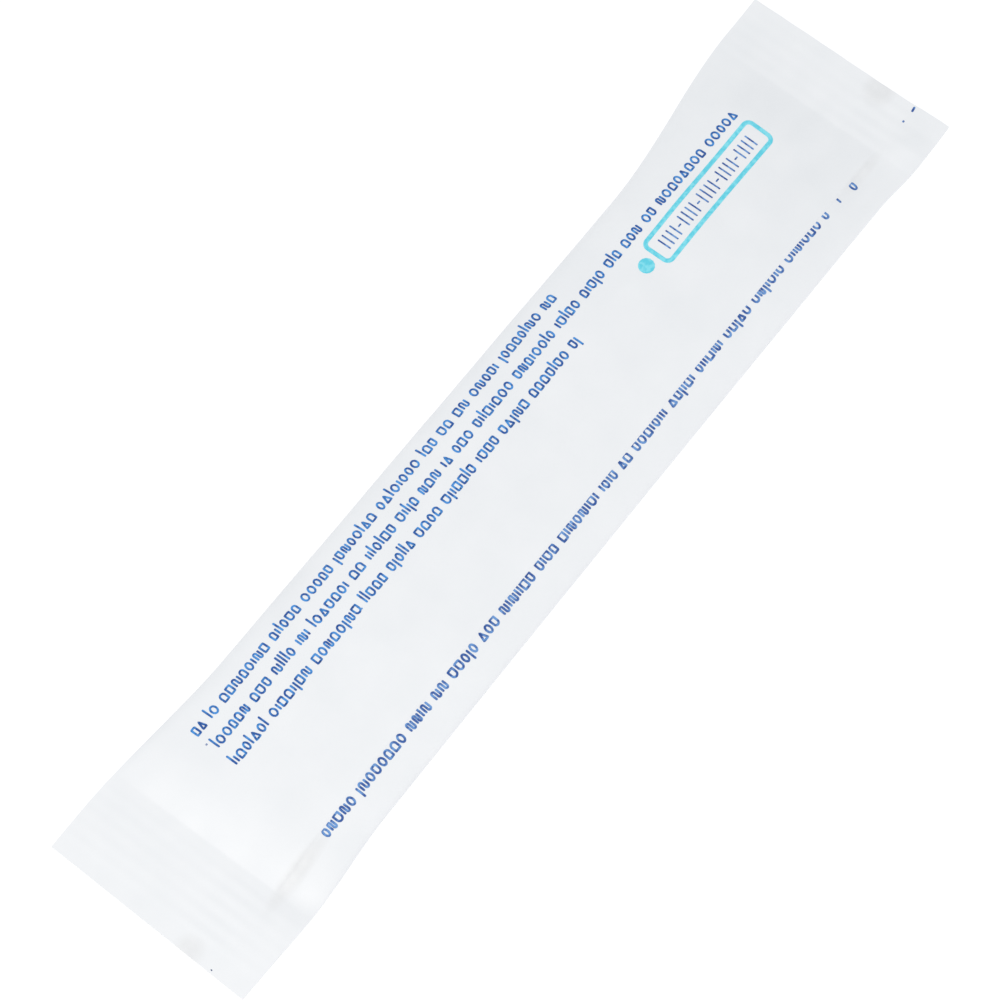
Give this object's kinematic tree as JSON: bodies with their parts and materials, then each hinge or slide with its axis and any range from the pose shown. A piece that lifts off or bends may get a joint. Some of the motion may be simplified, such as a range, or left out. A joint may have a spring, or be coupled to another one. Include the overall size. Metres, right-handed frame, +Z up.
{
  "type": "sweetener stick packet",
  "caption": "Shut single-serve stick packet of sweetener: a slim white paper tube, lap-seamed along its back and crimped flat at both ends.",
  "frame": {"origin": "on the surface that the packet lies on, under the middle of its bounding box", "axes": "+X along the stick, from the longer crimped end to the shorter one; +Y across it, away from the lap seam; +Z up, out of the seamed back"},
  "size_m": [0.1004, 0.0216, 0.0034],
  "materials": {
    "coated_paper": "satin coated white paper laminate",
    "print_blue": "blue ink printed on the coated paper",
    "print_cyan": "pale cyan ink printed on the coated paper"
  },
  "bodies": {
    "root": {"stick_packet": "coated_paper"}
  },
  "joints": []
}
